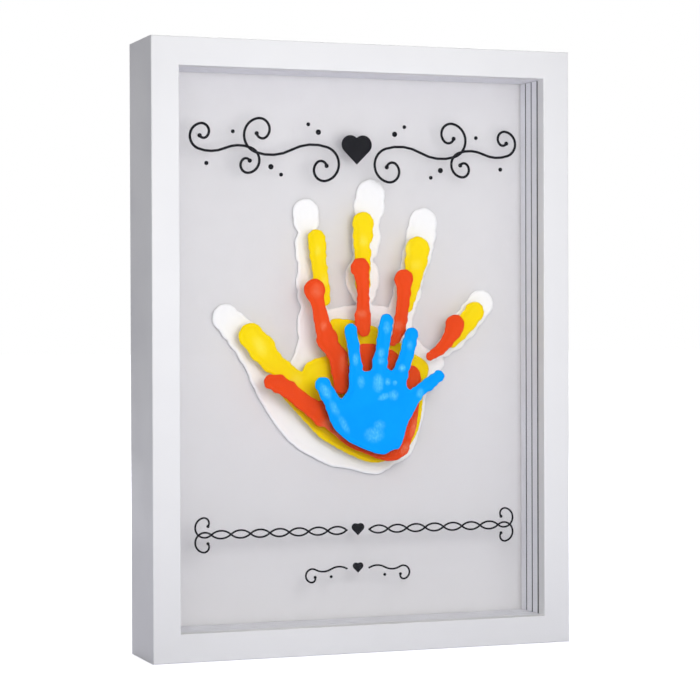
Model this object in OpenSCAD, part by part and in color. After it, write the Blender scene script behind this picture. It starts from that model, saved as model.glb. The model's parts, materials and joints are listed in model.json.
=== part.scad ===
// Deep box frame that shows four painted handprints on clear panes, one behind another.
// Millimetres. +Z is up, the front faces -Y, and the origin is the middle of the footprint.

/* [Artwork] */
// Width of the field that the prints and ornaments are laid out in
art_w = 230; // [190:1:280]
// Height of that field
art_h = 311; // [260:1:370]
// Clear margin at each side of the field
side_margin = 12.5; // [10:0.5:30]
// Clear margin above and below the field
end_margin = 26; // [20:0.5:60]

/* [Rails] */
// Width of the front rim
rim_w = 18.5; // [15:0.5:26]
// Thickness of the lip in front of the first pane
lip_t = 10; // [6:0.5:16]
// How far the rabbet is cut in behind the lip
rabbet_w = 6.5; // [5:0.25:8]
// Rounding of the rails' long edges
edge_r = 0.8; // [0.4:0.1:2]

/* [Stack] */
// Thickness of each clear pane
pane_t = 2; // [1.5:0.1:4]
// Thickness of the strips that keep the panes apart
spacer_t = 8; // [5:0.5:14]
// Thickness of the background card
card_t = 1; // [0.5:0.1:3]
// Thickness of the foam pad
pad_t = 8; // [4:0.5:14]
// Thickness of the backing board
board_t = 3; // [2:0.1:5]
// Clearance round whatever drops into the rabbet
fit_gap = 0.25; // [0.1:0.05:0.6]

/* [Prints and ornaments] */
// Thickness of the dried paint
paint_t = 0.6; // [0.3:0.05:1]
// Radius that the paint runs to in a notch
paint_flow_r = 0.8; // [0.3:0.1:1.5]
// Thickness of the raised vinyl
vinyl_t = 0.4; // [0.2:0.05:0.8]
// Stroke width of the title ornament
title_stroke = 1.7; // [1:0.1:2.2]
// Stroke width of the lower ornaments
line_stroke = 1.2; // [0.8:0.1:1.6]

/* [Turn buttons] */
// Radius of the button's round hub
hub_r = 4.8; // [4:0.1:5.8]
// Radius of its rounded tip
tip_r = 3.2; // [2:0.1:4]
// Distance from the hub's centre to the tip's centre
button_reach = 14; // [12:0.5:18]
// Thickness of the button
button_t = 1.2; // [0.8:0.1:2]
// Air between the button and the frame's back
button_gap = 0.2; // [0.1:0.05:0.3]
// Radius of the screw's shank
screw_r = 1.5; // [1.2:0.05:1.8]
// Depth of the screw in the rail
screw_l = 12; // [8:0.5:16]
// Radius of the screw's head
head_r = 2.9; // [2.4:0.1:3.6]
// Height of the screw's head
head_h = 1.8; // [1.2:0.1:2.4]
// Running clearance of the button on the screw
bore_gap = 0.08; // [0.06:0.01:0.1]

/* [Hanger] */
// Length of the toothed plate
hanger_l = 46; // [38:1:60]
// Height of the plate
hanger_h = 9; // [7.5:0.5:11]
// Thickness of the plate
hanger_t = 1; // [0.8:0.1:1.3]
// Air behind its raised middle
hanger_rise = 2; // [1.5:0.1:2.5]
// Length of each flat foot
hanger_foot = 8; // [6.5:0.5:10]
// Length of each slope
hanger_slope = 3; // [2:0.5:4]
// Number of teeth
teeth = 7; // [5:2:9]
// Depth of the teeth
tooth_h = 2.4; // [1.5:0.1:3]
// Radius of the hanger's nails
nail_r = 0.75; // [0.6:0.05:0.9]
// Radius of their heads
nail_head_r = 1.9; // [1.6:0.1:2.4]
// Height of their heads
nail_head_h = 0.8; // [0.6:0.1:1]
// Depth of the nails in the rail
nail_l = 10; // [8:0.5:14]

/* [Corner nails] */
// Length of each leg
v_leg = 4.6; // [3.5:0.1:5.5]
// Thickness of the steel
v_t = 0.7; // [0.5:0.05:1]
// Depth in the wood
v_depth = 10; // [7:0.5:15]

/* [Wall bumpers] */
// Radius of each dome
bumper_r = 4.8; // [3.5:0.1:5.8]
// How far the domes stand off the back
bumper_h = 4; // [3.8:0.1:5]
// Height of the domes above the frame's foot
bumper_up = 30; // [26:1:60]

/* [Hidden] */

// Overrun of every cut
over = 1;
// Sides of round shapes, of a finger pad and of a rail's rounded edges
$fn = 48;
pad_sides = 20;
edge_sides = 24;
// Turn between two points of a stroke
arc_step = 12;
// Waves on each side of the line ornament, and how far each one turns
line_waves = 7;
wave_angle = 84;

// Frame sizes, worked out from the artwork and the stack
panes = 4;
opening_w = art_w + 2 * side_margin;
opening_h = art_h + 2 * end_margin;
frame_w = opening_w + 2 * rim_w;
frame_h = opening_h + 2 * rim_w;
pitch = pane_t + spacer_t;
stack_t = panes * pane_t + (panes - 1) * spacer_t;
frame_d = lip_t + stack_t + card_t + pad_t + board_t;
front_y = -(frame_d + bumper_h) / 2;
back_y = front_y + frame_d;
mid_z = frame_h / 2;
wall_w = rim_w - rabbet_w;
rabbet_in_w = opening_w + 2 * rabbet_w;
rabbet_in_h = opening_h + 2 * rabbet_w;
sheet_w = rabbet_in_w - 2 * fit_gap;
sheet_h = rabbet_in_h - 2 * fit_gap;

// Unit of the hand outlines and of the ornaments: the field is 2.3 units wide
unit_share = 1 / 2.3;
unit = art_w * unit_share;

// Places of the turn buttons along the rails, as shares of the rail's length from its middle
long_rail_share = 0.28;
short_rail_share = 0.30;

// Palm outlines, as shares of the unit from the middle of the opening
white_palm_shares = [
    [-0.42, -0.10], [-0.36, 0.02], [-0.30, 0.20], [-0.10, 0.27], [0.08, 0.29], [0.28, 0.28],
    [0.42, 0.22], [0.48, 0.10], [0.56, 0.00], [0.66, -0.04], [0.70, -0.11], [0.64, -0.19],
    [0.57, -0.31], [0.55, -0.44], [0.51, -0.58], [0.45, -0.725], [0.34, -0.785], [0.22, -0.85],
    [0.11, -0.84], [0.00, -0.808], [-0.12, -0.79], [-0.26, -0.722], [-0.38, -0.652], [-0.50, -0.525],
    [-0.60, -0.375], [-0.66, -0.25], [-0.62, -0.12], [-0.52, -0.06]];
yellow_palm_shares = [
    [-0.37, -0.16], [-0.33, -0.10], [-0.26, -0.065], [-0.18, -0.04], [-0.165, 0.06], [-0.16, 0.17],
    [-0.12, 0.20], [-0.01, 0.19], [0.08, 0.17], [0.17, 0.14], [0.23, 0.09], [0.30, 0.06],
    [0.36, 0.02], [0.42, -0.03], [0.48, -0.06], [0.53, -0.095], [0.55, -0.15], [0.53, -0.22],
    [0.51, -0.30], [0.50, -0.40], [0.48, -0.52], [0.43, -0.63], [0.34, -0.72], [0.22, -0.76],
    [0.12, -0.765], [0.00, -0.72], [-0.12, -0.66], [-0.22, -0.60], [-0.30, -0.525], [-0.38, -0.44],
    [-0.47, -0.345], [-0.53, -0.27], [-0.54, -0.19], [-0.46, -0.15]];
red_palm_shares = [
    [-0.26, -0.34], [-0.18, -0.36], [-0.12, -0.34], [-0.06, -0.28], [-0.04, -0.15], [0.00, -0.04],
    [0.01, 0.02], [0.07, 0.033], [0.13, 0.028], [0.17, -0.01], [0.205, -0.03], [0.24, -0.005],
    [0.28, -0.035], [0.31, -0.07], [0.36, -0.115], [0.40, -0.117], [0.44, -0.15], [0.455, -0.21],
    [0.44, -0.28], [0.44, -0.37], [0.43, -0.46], [0.415, -0.55], [0.38, -0.63], [0.36, -0.695],
    [0.30, -0.737], [0.23, -0.754], [0.15, -0.738], [0.08, -0.71], [0.00, -0.68], [-0.08, -0.64],
    [-0.16, -0.575], [-0.24, -0.51], [-0.28, -0.44], [-0.29, -0.38]];
blue_palm_shares = [
    [-0.095, -0.16], [-0.093, -0.24], [-0.12, -0.30], [-0.16, -0.333], [-0.21, -0.33],
    [-0.255, -0.37], [-0.245, -0.425], [-0.215, -0.50], [-0.165, -0.56], [-0.10, -0.61],
    [-0.03, -0.648], [0.05, -0.68], [0.115, -0.70], [0.165, -0.70], [0.205, -0.677], [0.26, -0.66],
    [0.29, -0.605], [0.31, -0.53], [0.35, -0.45], [0.39, -0.38], [0.42, -0.32], [0.39, -0.282],
    [0.34, -0.28], [0.31, -0.235], [0.33, -0.17], [0.28, -0.13], [0.22, -0.145], [0.19, -0.14],
    [0.14, -0.11], [0.06, -0.145], [0.02, -0.15], [-0.04, -0.14]];

// Finger pads from the tip down, as shares of the unit: place across, place up, radius
white_finger_shares = [
    [[-0.855, 0.205, 0.093], [-0.80, 0.15, 0.103], [-0.74, 0.09, 0.112], [-0.66, -0.01, 0.12],
        [-0.56, -0.16, 0.14]],
    [[-0.295, 0.905, 0.094], [-0.292, 0.85, 0.092], [-0.272, 0.76, 0.06], [-0.272, 0.70, 0.102],
        [-0.265, 0.63, 0.104], [-0.262, 0.515, 0.092], [-0.255, 0.44, 0.112], [-0.252, 0.36, 0.106],
        [-0.24, 0.26, 0.094], [-0.235, 0.18, 0.124], [-0.225, 0.13, 0.134], [-0.22, 0.05, 0.113],
        [-0.20, -0.03, 0.14]],
    [[0.166, 1.033, 0.104], [0.158, 0.955, 0.112], [0.14, 0.86, 0.092], [0.136, 0.75, 0.106],
        [0.128, 0.68, 0.096], [0.11, 0.60, 0.074], [0.107, 0.49, 0.122], [0.107, 0.455, 0.122],
        [0.116, 0.375, 0.09]],
    [[0.548, 0.848, 0.103], [0.535, 0.77, 0.111], [0.52, 0.69, 0.104], [0.50, 0.625, 0.108],
        [0.477, 0.55, 0.096], [0.452, 0.47, 0.098], [0.432, 0.38, 0.104], [0.395, 0.27, 0.098],
        [0.38, 0.18, 0.09]],
    [[0.97, 0.30, 0.095], [0.915, 0.235, 0.098], [0.85, 0.155, 0.10], [0.775, 0.07, 0.088],
        [0.70, 0.00, 0.064]]];
yellow_finger_shares = [
    [[-0.71, 0.085, 0.087], [-0.637, 0.005, 0.096], [-0.57, -0.08, 0.08], [-0.49, -0.14, 0.07],
        [-0.40, -0.22, 0.08]],
    [[-0.254, 0.73, 0.063], [-0.247, 0.685, 0.065], [-0.243, 0.62, 0.061], [-0.23, 0.53, 0.057],
        [-0.223, 0.46, 0.056], [-0.212, 0.40, 0.056], [-0.203, 0.33, 0.05]],
    [[0.078, 0.835, 0.078], [0.076, 0.755, 0.073], [0.066, 0.70, 0.06], [0.076, 0.64, 0.061],
        [0.073, 0.54, 0.06], [0.075, 0.43, 0.056]],
    [[0.47, 0.665, 0.088], [0.459, 0.585, 0.084], [0.44, 0.50, 0.072], [0.428, 0.42, 0.06],
        [0.408, 0.34, 0.048], [0.395, 0.28, 0.04]],
    [[0.885, 0.242, 0.072], [0.835, 0.18, 0.071], [0.775, 0.105, 0.06], [0.72, 0.04, 0.042]]];
red_finger_shares = [
    [[-0.605, -0.215, 0.05], [-0.55, -0.228, 0.063], [-0.48, -0.27, 0.061], [-0.40, -0.335, 0.059],
        [-0.32, -0.39, 0.063], [-0.25, -0.445, 0.072]],
    [[-0.30, 0.388, 0.075], [-0.277, 0.30, 0.05], [-0.256, 0.205, 0.054], [-0.237, 0.13, 0.061],
        [-0.213, 0.065, 0.078], [-0.20, 0.03, 0.066], [-0.135, -0.055, 0.068], [-0.12, -0.15, 0.068],
        [-0.11, -0.245, 0.058]],
    [[0.022, 0.535, 0.068], [0.04, 0.44, 0.049], [0.042, 0.33, 0.046], [0.042, 0.275, 0.047],
        [0.039, 0.215, 0.06], [0.039, 0.17, 0.06], [0.047, 0.12, 0.044]],
    [[0.333, 0.462, 0.068], [0.334, 0.375, 0.051], [0.326, 0.30, 0.049], [0.312, 0.20, 0.049],
        [0.30, 0.125, 0.047], [0.275, 0.065, 0.036], [0.255, 0.035, 0.024]],
    [[0.703, 0.155, 0.07], [0.69, 0.115, 0.062], [0.645, 0.045, 0.047], [0.595, -0.01, 0.04],
        [0.545, -0.04, 0.034], [0.52, -0.055, 0.029]]];
blue_finger_shares = [
    [[-0.277, -0.238, 0.055], [-0.245, -0.295, 0.057], [-0.20, -0.37, 0.063]],
    [[-0.08, 0.122, 0.045], [-0.076, 0.085, 0.044], [-0.063, 0.02, 0.046], [-0.056, -0.04, 0.042],
        [-0.044, -0.12, 0.048], [-0.045, -0.19, 0.05]],
    [[0.172, 0.18, 0.049], [0.163, 0.137, 0.051], [0.152, 0.06, 0.05], [0.144, 0.005, 0.048],
        [0.125, -0.09, 0.057], [0.122, -0.15, 0.06]],
    [[0.35, 0.09, 0.049], [0.337, 0.04, 0.053], [0.315, -0.045, 0.053], [0.29, -0.11, 0.055],
        [0.265, -0.17, 0.058]],
    [[0.545, -0.188, 0.041], [0.505, -0.215, 0.044], [0.47, -0.243, 0.047], [0.425, -0.27, 0.043],
        [0.385, -0.305, 0.05]]];

// How full the paint is between two pads, as a share of their radii
neck_share = 0.92;
// Points between two points of a palm outline
curve_steps = 3;

// Places of the ornaments' middles from the middle of the opening, as shares of the field's height
title_up_share = 0.421;
line_up_share = -0.3875;
foot_up_share = -0.4695;

// Ornament strokes: each is a start, a heading and then arcs of a radius and a turn,
// as shares of the unit and degrees, with a left turn positive
title_stroke_shares = [
    [[0.455, 0], -28, [[0.32, 46], [0.115, 150], [0.07, 150], [0.04, 120]]],
    [[0.455, 0], 152, [[0.32, 46], [0.115, 150], [0.07, 150], [0.04, 120]]],
    [[0.915, 0], -24, [[0.24, 44], [0.085, 150], [0.05, 150], [0.03, 100]]],
    [[0.915, 0], 156, [[0.24, 44], [0.085, 150], [0.05, 150], [0.03, 100]]]];
line_wave_shares = [for (i = [0:line_waves - 1]) [0.10, i % 2 == 0 ? -wave_angle : wave_angle]];
line_stroke_shares = [for (s = [1, -1]) [[0.08, 0], s * wave_angle / 2,
    [for (w = concat(line_wave_shares, [[0.065, 210], [0.035, 140]])) [w[0], s * w[1]]]]];
foot_stroke_shares = [
    [[0.08, 0], 30, [[0.11, -60], [0.11, 60], [0.045, -200], [0.025, -120]]]];
// Round dots beside the strokes: place across, place up, radius
title_dot_shares = [[0.27, 0.12, 0.018], [0.34, 0.17, 0.013], [0.60, -0.115, 0.018], [0.53, -0.165, 0.013],
    [0.86, 0.11, 0.013], [1.04, -0.10, 0.014]];
foot_dot_shares = [[0.19, -0.05, 0.010]];
// Sides of the hearts' squares
title_heart_share = 0.125;
line_heart_share = 0.052;
foot_heart_share = 0.044;
// Radius of the dots at a stroke's start and at its end, as shares of its width
stroke_start_share = 0.55;
stroke_end_share = 0.85;

function pane_y(i) = front_y + lip_t + (i - 1) * pitch;
function spacer_y(i) = pane_y(i) + pane_t;
function step_along(p, a, l) = [p[0] + l * cos(a), p[1] + l * sin(a)];

// Closed smooth curve through the points, a few steps between each two
function blend(a, b, c, d, t) = 0.5 * (2 * b + (c - a) * t
    + (2 * a - 5 * b + 4 * c - d) * t * t + (3 * b - a - 3 * c + d) * t * t * t);
function closed_curve(pts, steps) = let (n = len(pts))
    [for (i = [0:n - 1], k = [0:steps - 1])
        blend(pts[(i + n - 1) % n], pts[i], pts[(i + 1) % n], pts[(i + 2) % n], k / steps)];

// Puts a flat drawing upright at depth y, with its thickness towards the front
module upright(y, up = 0) {
    translate([0, y, mid_z + up]) rotate([90, 0, 0]) children();
}

// One pane, card, pad or board that fills the rabbet
module sheet(y, t) {
    translate([-sheet_w / 2, y, mid_z - sheet_h / 2]) cube([sheet_w, t, sheet_h]);
}

// Section of a rail: x runs from the outer face towards the opening, y from the front to the back
module rail_section() {
    $fn = edge_sides;
    offset(r = edge_r) offset(delta = -edge_r) difference() {
        square([rim_w, frame_d]);
        translate([wall_w, lip_t]) square([rim_w, frame_d]);
    }
}

// A rail that lies along X with its outer face down, mitred at both ends
module rail_blank(length) {
    intersection() {
        translate([-length / 2, front_y, 0])
            multmatrix([[0, 0, 1, 0], [0, 1, 0, 0], [1, 0, 0, 0], [0, 0, 0, 1]])
                linear_extrude(length) rail_section();
        translate([0, back_y + over, 0]) rotate([90, 0, 0]) linear_extrude(frame_d + 2 * over)
            polygon([[-length / 2, 0], [length / 2, 0],
                [length / 2 - rim_w - over, rim_w + over], [rim_w + over - length / 2, rim_w + over]]);
    }
}

// Turns a bottom rail or its hardware to one of the four sides: 0 bottom, 1 right, 2 top, 3 left
module to_side(side) {
    drop = side % 2 == 0 ? frame_h / 2 : frame_w / 2;
    translate([0, 0, mid_z]) rotate([0, -90 * side, 0]) translate([0, 0, -drop]) children();
}

module rail(side) {
    color("white") difference() {
        to_side(side) rail_blank(side % 2 == 0 ? frame_w : frame_h);
        v_nails();
        screw_shanks();
        if (side == 2) hanger_nail_shanks();
    }
}

// An angled nail across each mitre, one leg in each rail
module v_nails() {
    for (sx = [0, 1], sz = [0, 1])
        translate([0, 0, mid_z]) mirror([sx, 0, 0]) mirror([0, 0, sz])
            translate([wall_w / 2 - frame_w / 2 - v_t / 2, back_y - v_depth,
                wall_w / 2 - frame_h / 2 - v_t / 2]) {
                cube([v_leg, v_depth, v_t]);
                cube([v_t, v_depth, v_leg]);
            }
}

// Flat outline of a hand: a palm and five rows of pads
module hand(palm, fingers) {
    $fn = pad_sides;
    offset(r = -paint_flow_r) offset(delta = paint_flow_r) {
        polygon(unit * closed_curve(palm, curve_steps));
        for (f = fingers) {
            for (p = f) translate(unit * [p[0], p[1]]) circle(r = unit * p[2]);
            for (i = [0:len(f) - 2]) neck(unit * f[i], unit * f[i + 1]);
        }
    }
}

// Paint that joins two pads
module neck(a, b) {
    along = atan2(b[1] - a[1], b[0] - a[0]) + 90;
    polygon([step_along(a, along, neck_share * a[2]), step_along(b, along, neck_share * b[2]),
        step_along(b, along, -neck_share * b[2]), step_along(a, along, -neck_share * a[2])]);
}

module print_on(pane, palm, fingers) {
    upright(pane_y(pane)) linear_extrude(paint_t) hand(palm, fingers);
}

// Points of a stroke's middle line, each with its heading
function trace(at, heading, arcs, i = 0) = i == len(arcs) ? [[at, heading]] : let (
    r = unit * arcs[i][0],
    turn = arcs[i][1],
    side = turn > 0 ? 90 : -90,
    centre = step_along(at, heading + side, r),
    steps = ceil(abs(turn) / arc_step))
    concat([for (k = [0:steps - 1]) let (t = turn * k / steps)
            [step_along(centre, heading - side + t, r), heading + t]],
        trace(step_along(centre, heading - side + turn, r), heading + turn, arcs, i + 1));

// A stroke of constant width along arcs that run on from one another, with a small dot where it
// starts and a larger one where it ends
module stroke(at, heading, arcs, w) {
    line = trace(at, heading, arcs);
    last = len(line) - 1;
    linear_extrude(vinyl_t) polygon(concat(
        [for (p = line) step_along(p[0], p[1] + 90, w / 2)],
        [for (i = [last:-1:0]) step_along(line[i][0], line[i][1] - 90, w / 2)]));
    translate(line[0][0]) cylinder(r = w * stroke_start_share, h = vinyl_t);
    translate(line[last][0]) cylinder(r = w * stroke_end_share, h = vinyl_t);
}

// A filled heart: a square of side s on its corner, with a half circle on each upper side
module heart(s) {
    rotate([0, 0, 45]) {
        translate([-s / 2, -s / 2, 0]) cube([s, s, vinyl_t]);
        translate([0, s / 2, 0]) cylinder(d = s, h = vinyl_t);
        translate([s / 2, 0, 0]) cylinder(d = s, h = vinyl_t);
    }
}

// A heart with the same strokes and dots on both sides of it
module ornament(up_share, strokes, dots, heart_share, w) {
    color("#222226") upright(pane_y(2), art_h * up_share) {
        heart(unit * heart_share);
        for (side = [0, 1]) mirror([side, 0, 0]) {
            for (s = strokes) stroke(unit * s[0], s[1], s[2], w);
            for (d = dots) translate(unit * [d[0], d[1]]) cylinder(r = unit * d[2], h = vinyl_t);
        }
    }
}

// Strips that fill the rabbet between two panes, flush with the lip
module spacer_end(i, side) {
    color("#f4f4f6") to_side(side)
        translate([-sheet_w / 2, spacer_y(i), wall_w + fit_gap])
            cube([sheet_w, spacer_t, rabbet_w - fit_gap]);
}

module spacer_side(i, side) {
    color("#f4f4f6") to_side(side)
        translate([-opening_h / 2 + fit_gap, spacer_y(i), wall_w + fit_gap])
            cube([opening_h - 2 * fit_gap, spacer_t, rabbet_w - fit_gap]);
}

// Puts a button or its screw at its place: side of the frame, and which half of that rail
module at_button(side, half) {
    run = side % 2 == 0 ? frame_w * short_rail_share : frame_h * long_rail_share;
    to_side(side) translate([half * run, back_y, wall_w / 2]) rotate([-90, 0, 0]) children();
}

// Flat drop-shaped button that points across the opening
module turn_button(side, half) {
    lean = asin((hub_r - tip_r) / button_reach);
    color("#b9bbc0") at_button(side, half) translate([0, 0, button_gap]) difference() {
        union() {
            cylinder(r = hub_r, h = button_t);
            translate([0, -button_reach, 0]) cylinder(r = tip_r, h = button_t);
            linear_extrude(button_t) polygon([
                [hub_r * cos(lean), -hub_r * sin(lean)],
                [tip_r * cos(lean), -button_reach - tip_r * sin(lean)],
                [-tip_r * cos(lean), -button_reach - tip_r * sin(lean)],
                [-hub_r * cos(lean), -hub_r * sin(lean)]]);
        }
        translate([0, 0, -over]) cylinder(r = screw_r + bore_gap, h = button_t + 2 * over);
    }
}

module each_button() {
    for (side = [0:3], half = [-1, 1]) at_button(side, half) children();
}

module screw_shanks() {
    each_button() translate([0, 0, -screw_l]) cylinder(r = screw_r, h = screw_l);
}

// Pan-head screws with a crossed recess
module turn_button_screws() {
    seat = 2 * button_gap + button_t;
    recess_w = head_r / 4;
    recess_d = head_h / 2;
    color("#8e9096") each_button() difference() {
        union() {
            translate([0, 0, -screw_l]) cylinder(r = screw_r, h = screw_l + seat);
            translate([0, 0, seat]) cylinder(r1 = head_r, r2 = head_r - head_h / 3, h = head_h);
        }
        for (a = [0, 90]) rotate([0, 0, a]) translate([-head_r / 2, -recess_w / 2, seat + head_h - recess_d])
            cube([head_r, recess_w, recess_d + over]);
    }
}

// Places for the hanger's two nails
module at_hanger_nails() {
    for (s = [-1, 1]) to_side(2)
        translate([s * (hanger_l - hanger_foot) / 2, back_y, wall_w / 2]) rotate([-90, 0, 0]) children();
}

module hanger_nail_shanks() {
    at_hanger_nails() translate([0, 0, -nail_l]) cylinder(r = nail_r, h = nail_l);
}

module hanger_nails() {
    color("#9a9ca2") at_hanger_nails() {
        translate([0, 0, -nail_l]) cylinder(r = nail_r, h = nail_l + hanger_t);
        translate([0, 0, hanger_t]) cylinder(r = nail_head_r, h = nail_head_h);
    }
}

// Bent plate with two flat feet, a raised middle and teeth along its lower edge
module sawtooth_hanger() {
    foot = hanger_l / 2 - hanger_foot;
    flat = foot - hanger_slope;
    tooth = 2 * flat / teeth;
    color("#b9bbc0") difference() {
        translate([0, back_y, frame_h - wall_w / 2 - hanger_h / 2]) linear_extrude(hanger_h) polygon([
            [-hanger_l / 2, 0], [-foot, 0], [-flat, hanger_rise], [flat, hanger_rise], [foot, 0],
            [hanger_l / 2, 0], [hanger_l / 2, hanger_t], [foot, hanger_t],
            [flat, hanger_rise + hanger_t], [-flat, hanger_rise + hanger_t],
            [-foot, hanger_t], [-hanger_l / 2, hanger_t]]);
        for (i = [0:teeth - 1])
            translate([(i - (teeth - 1) / 2) * tooth, back_y + hanger_rise + hanger_t + over,
                frame_h - wall_w / 2 - hanger_h / 2])
                rotate([90, 0, 0]) linear_extrude(hanger_t + 2 * over) polygon([
                    [-tooth / 2, -over], [-tooth / 2, 0], [0, tooth_h], [tooth / 2, 0], [tooth / 2, -over]]);
        at_hanger_nails() cylinder(r = nail_r, h = hanger_t);
    }
}

// Soft domes low on the back
module wall_bumpers() {
    dome_r = (bumper_r * bumper_r + bumper_h * bumper_h) / (2 * bumper_h);
    color("#c9ccd2") for (s = [-1, 1])
        translate([s * (frame_w - wall_w) / 2, back_y, bumper_up]) rotate([-90, 0, 0]) intersection() {
            translate([0, 0, bumper_h - dome_r]) sphere(r = dome_r);
            cylinder(r = bumper_r, h = bumper_h);
        }
}

module rail_bottom() { rail(0); }
module rail_right() { rail(1); }
module rail_top() { rail(2); }
module rail_left() { rail(3); }
module corner_v_nails() { color("#8e9096") v_nails(); }
module pane(i) { color("#dfeef4", 0.3) sheet(pane_y(i), pane_t); }
module print_blue() { color("#00a3ff") print_on(1, blue_palm_shares, blue_finger_shares); }
module print_red() { color("#f04e20") print_on(2, red_palm_shares, red_finger_shares); }
module print_yellow() { color("#ffe100") print_on(3, yellow_palm_shares, yellow_finger_shares); }
module print_white() { color("#fbfbfb") print_on(4, white_palm_shares, white_finger_shares); }
module ornament_title() {
    ornament(title_up_share, title_stroke_shares, title_dot_shares, title_heart_share, title_stroke);
}
module ornament_line() {
    ornament(line_up_share, line_stroke_shares, [], line_heart_share, line_stroke);
}
module ornament_foot() {
    ornament(foot_up_share, foot_stroke_shares, foot_dot_shares, foot_heart_share, line_stroke);
}
module background_card() { color("#e2e1e3") sheet(pane_y(panes) + pane_t, card_t); }
module filler_pad() { color("#d8d8d8") sheet(back_y - board_t - pad_t, pad_t); }
module backing_board() { color("#7a5b41") sheet(back_y - board_t, board_t); }

rail_top();
rail_bottom();
rail_left();
rail_right();
corner_v_nails();
pane(1);  // pane_1
pane(2);  // pane_2
pane(3);  // pane_3
pane(4);  // pane_4
print_blue();
print_red();
print_yellow();
print_white();
ornament_title();
ornament_line();
ornament_foot();
spacer_end(1, 2);  // spacer_1_top
spacer_end(1, 0);  // spacer_1_bottom
spacer_side(1, 3);  // spacer_1_left
spacer_side(1, 1);  // spacer_1_right
spacer_end(2, 2);  // spacer_2_top
spacer_end(2, 0);  // spacer_2_bottom
spacer_side(2, 3);  // spacer_2_left
spacer_side(2, 1);  // spacer_2_right
spacer_end(3, 2);  // spacer_3_top
spacer_end(3, 0);  // spacer_3_bottom
spacer_side(3, 3);  // spacer_3_left
spacer_side(3, 1);  // spacer_3_right
background_card();
filler_pad();
backing_board();
turn_button(2, 1);  // turn_button_top_left
turn_button(2, -1);  // turn_button_top_right
turn_button(0, -1);  // turn_button_bottom_left
turn_button(0, 1);  // turn_button_bottom_right
turn_button(3, -1);  // turn_button_left_high
turn_button(3, 1);  // turn_button_left_low
turn_button(1, 1);  // turn_button_right_high
turn_button(1, -1);  // turn_button_right_low
turn_button_screws();
sawtooth_hanger();
hanger_nails();
wall_bumpers();
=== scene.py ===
"""Looks of a deep white box frame with four painted handprints on clear panes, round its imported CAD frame.

All of it is in metres in the CAD frame: +Z up, the front faces -Y, the origin is the footprint's middle.
"""

from __future__ import annotations

import json
import logging
import math
from collections.abc import Callable
from dataclasses import dataclass
from enum import Enum
from typing import ClassVar

import bmesh
import bpy
from mathutils import Matrix, Vector, noise
from mathutils.kdtree import KDTree

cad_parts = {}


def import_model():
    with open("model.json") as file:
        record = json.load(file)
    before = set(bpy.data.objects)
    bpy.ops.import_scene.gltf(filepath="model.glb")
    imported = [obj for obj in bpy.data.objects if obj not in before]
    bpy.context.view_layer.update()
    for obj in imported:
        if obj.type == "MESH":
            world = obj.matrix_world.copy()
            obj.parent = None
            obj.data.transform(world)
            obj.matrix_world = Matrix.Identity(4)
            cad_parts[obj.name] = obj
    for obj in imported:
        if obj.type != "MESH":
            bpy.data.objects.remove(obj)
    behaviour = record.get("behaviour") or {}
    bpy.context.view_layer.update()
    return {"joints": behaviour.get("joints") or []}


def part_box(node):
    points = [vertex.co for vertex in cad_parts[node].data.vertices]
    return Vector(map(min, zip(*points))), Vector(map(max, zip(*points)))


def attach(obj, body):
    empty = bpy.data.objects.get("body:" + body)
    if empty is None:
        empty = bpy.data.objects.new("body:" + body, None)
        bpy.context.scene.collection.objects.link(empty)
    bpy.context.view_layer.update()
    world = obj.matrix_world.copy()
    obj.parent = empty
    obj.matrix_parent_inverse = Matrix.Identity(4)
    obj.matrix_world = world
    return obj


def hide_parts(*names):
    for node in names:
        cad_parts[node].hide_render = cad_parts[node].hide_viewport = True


LOG = logging.getLogger("handprint_frame")
MM = 0.001
FIXED_BODY = "frame"
SHARP_ANGLE = math.radians(35)
CLEAN_ANGLE = math.radians(0.5)
MERGE_DISTANCE = 0.004 * MM
FACE_WEIGHT = 100

# A Mix node's colour sockets share their names with its other sockets, so they go by number.
MIX_FIRST, MIX_SECOND, MIX_RESULT = 6, 7, 2

Color = tuple[float, float, float]
Span = tuple[float, float]
Triple = tuple[float, float, float]
Socket = bpy.types.NodeSocket
Tree = bpy.types.NodeTree
Node = bpy.types.Node
Material = bpy.types.Material
EditMesh = bmesh.types.BMesh
EdgeTest = Callable[[bmesh.types.BMEdge], bool]

WHITE: Color = (1.0, 1.0, 1.0)


class Side(Enum):
    """The four sides of the frame, as its rails and spacers are named."""

    TOP = "top"
    BOTTOM = "bottom"
    LEFT = "left"
    RIGHT = "right"


class HandColor(Enum):
    """The four prints, from the front pane to the last one."""

    BLUE = "blue"
    RED = "red"
    YELLOW = "yellow"
    WHITE = "white"


# Node wiring


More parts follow.
